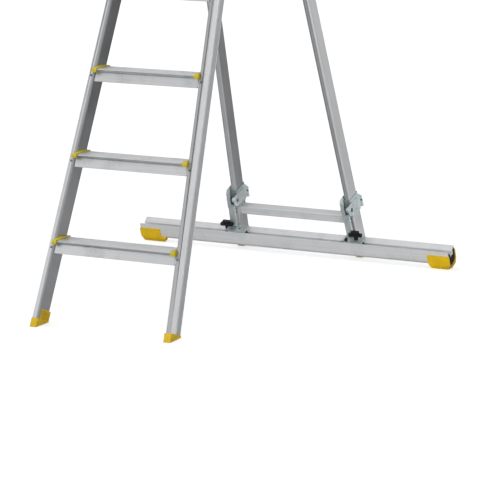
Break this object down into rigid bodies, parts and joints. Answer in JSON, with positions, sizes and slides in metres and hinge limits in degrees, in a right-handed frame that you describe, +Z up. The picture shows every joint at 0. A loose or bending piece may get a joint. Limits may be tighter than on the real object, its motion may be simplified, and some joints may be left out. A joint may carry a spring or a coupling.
{
  "type": "step ladder with levelling beam",
  "caption": "Folding aluminium step ladder with deep treads, yellow feet, and a wide levelling beam held across its rear legs by adjustable clamp brackets.",
  "frame": {"origin": "middle of the footprint, on the floor", "axes": "+X to the right of the climber, +Y towards the rear legs, +Z up; the climber stands on the -Y side"},
  "size_m": [1.166, 1.4772, 1.75],
  "materials": {
    "frame_aluminium": "brushed, drawn lengthways",
    "tread_aluminium": "ribbed, satin",
    "beam_aluminium": "satin, drawn lengthways",
    "zinc_steel": "zinc plated, faint greenish sheen",
    "pin_steel": "turned, satin",
    "hinge_casting": "die cast, matt",
    "yellow_plastic": "moulded, fine grain",
    "black_plastic": "moulded, fine grain"
  },
  "bodies": {
    "front_frame": {"front_foot_left": "yellow_plastic", "front_foot_right": "yellow_plastic", "front_stile_left": "frame_aluminium", "front_stile_right": "frame_aluminium", "hinge_clevis_left": "zinc_steel", "hinge_clevis_right": "zinc_steel", "hinge_pin_left": "pin_steel", "hinge_pin_right": "pin_steel", "top_platform": "yellow_plastic", "tread_1": "tread_aluminium", "tread_2": "tread_aluminium", "tread_3": "tread_aluminium", "tread_4": "tread_aluminium", "tread_5": "tread_aluminium", "tread_6": "tread_aluminium", "tread_cap_1_left": "yellow_plastic", "tread_cap_1_right": "yellow_plastic", "tread_cap_2_left": "yellow_plastic", "tread_cap_2_right": "yellow_plastic", "tread_cap_3_left": "yellow_plastic", "tread_cap_3_right": "yellow_plastic", "tread_cap_4_left": "yellow_plastic", "tread_cap_4_right": "yellow_plastic", "tread_cap_5_left": "yellow_plastic", "tread_cap_5_right": "yellow_plastic", "tread_cap_6_left": "yellow_plastic", "tread_cap_6_right": "yellow_plastic"},
    "rear_frame": {"hinge_block_left": "hinge_casting", "hinge_block_right": "hinge_casting", "rear_foot_left": "yellow_plastic", "rear_foot_right": "yellow_plastic", "rear_rung_1": "frame_aluminium", "rear_rung_2": "frame_aluminium", "rear_rung_3": "frame_aluminium", "rear_stile_left": "frame_aluminium", "rear_stile_right": "frame_aluminium", "stay_pin_left": "pin_steel", "stay_pin_right": "pin_steel"},
    "stay_left": {"stay_left": "zinc_steel"},
    "stay_right": {"stay_right": "zinc_steel"},
    "bracket_right": {"clamp_liner_right": "black_plastic", "clamp_right": "zinc_steel", "lever_pin_right": "pin_steel"},
    "lever_right": {"clamp_lever_right": "zinc_steel"},
    "bracket_foot_right": {"foot_tray_right": "zinc_steel", "slot_nut_right": "black_plastic", "tray_pin_right": "pin_steel"},
    "knob_right": {"lock_knob_right": "black_plastic"},
    "beam": {"beam_shoe_left": "yellow_plastic", "beam_shoe_right": "yellow_plastic", "beam_tube": "beam_aluminium"},
    "bracket_foot_left": {"foot_tray_left": "zinc_steel", "slot_nut_left": "black_plastic", "tray_pin_left": "pin_steel"},
    "knob_left": {"lock_knob_left": "black_plastic"},
    "bracket_left": {"clamp_left": "zinc_steel", "clamp_liner_left": "black_plastic", "lever_pin_left": "pin_steel"},
    "lever_left": {"clamp_lever_left": "zinc_steel"}
  },
  "joints": [
    {"name": "fold", "type": "hinge", "parent": "front_frame", "child": "rear_frame", "pos_m": [0, 0.03663, 1.674], "axis": [-1, 0, 0], "range_deg": [0, 39]},
    {"name": "stay_left_turn", "type": "hinge", "parent": "rear_frame", "child": "stay_left", "pos_m": [-0.14686, 0.14066, 1.45994], "axis": [1, 0, 0], "range_deg": [0, 78]},
    {"name": "stay_right_turn", "type": "hinge", "parent": "rear_frame", "child": "stay_right", "pos_m": [0.14686, 0.14066, 1.45994], "axis": [1, 0, 0], "range_deg": [0, 78]},
    {"name": "beam_lift", "type": "slide", "parent": "rear_frame", "child": "bracket_right", "axis": [-0.0499, -0.3595, 0.9318], "range_m": [0, 0.2]},
    {"name": "beam_tilt", "type": "hinge", "parent": "bracket_right", "child": "bracket_foot_right", "pos_m": [0.21097, 0.66358, 0.10477], "axis": [0, 0.933, 0.36], "range_deg": [0, 5]},
    {"name": "right_foot_shift", "type": "slide", "parent": "bracket_foot_right", "child": "beam", "axis": [1, 0, 0], "range_m": [0, 0.01009]},
    {"name": "left_foot_shift", "type": "slide", "parent": "beam", "child": "bracket_foot_left", "axis": [1, 0, 0], "range_m": [0, 0.01009]},
    {"name": "left_bracket_turn", "type": "hinge", "parent": "bracket_foot_left", "child": "bracket_left", "pos_m": [-0.228, 0.66358, 0.10477], "axis": [0, 0.933, 0.36], "range_deg": [-5, 0]},
    {"name": "lever_right_swing", "type": "hinge", "parent": "bracket_right", "child": "lever_right", "pos_m": [0.21461, 0.58186, 0.17768], "axis": [0.9988, -0.018, 0.0466], "range_deg": [0, 100]},
    {"name": "lever_left_swing", "type": "hinge", "parent": "bracket_left", "child": "lever_left", "pos_m": [-0.21461, 0.58186, 0.17768], "axis": [0.9988, 0.018, -0.0466], "range_deg": [0, 100]},
    {"name": "knob_right_turn", "type": "hinge", "parent": "bracket_foot_right", "child": "knob_right", "pos_m": [0.23797, 0.609, 0.08371], "axis": [0, -0.36, 0.933], "range_deg": [0, 45]},
    {"name": "knob_left_turn", "type": "hinge", "parent": "bracket_foot_left", "child": "knob_left", "pos_m": [-0.2475, 0.609, 0.08371], "axis": [0, -0.36, 0.933], "range_deg": [-45, 0]}
  ],
  "couplings": [
    {"joint": "stay_left_turn", "follows": "fold", "ratio": 2},
    {"joint": "stay_right_turn", "follows": "fold", "ratio": 2},
    {"joint": "right_foot_shift", "follows": "beam_lift", "ratio": 0.049938},
    {"joint": "left_foot_shift", "follows": "beam_lift", "ratio": 0.049938},
    {"joint": "left_bracket_turn", "follows": "beam_tilt", "ratio": -1}
  ]
}
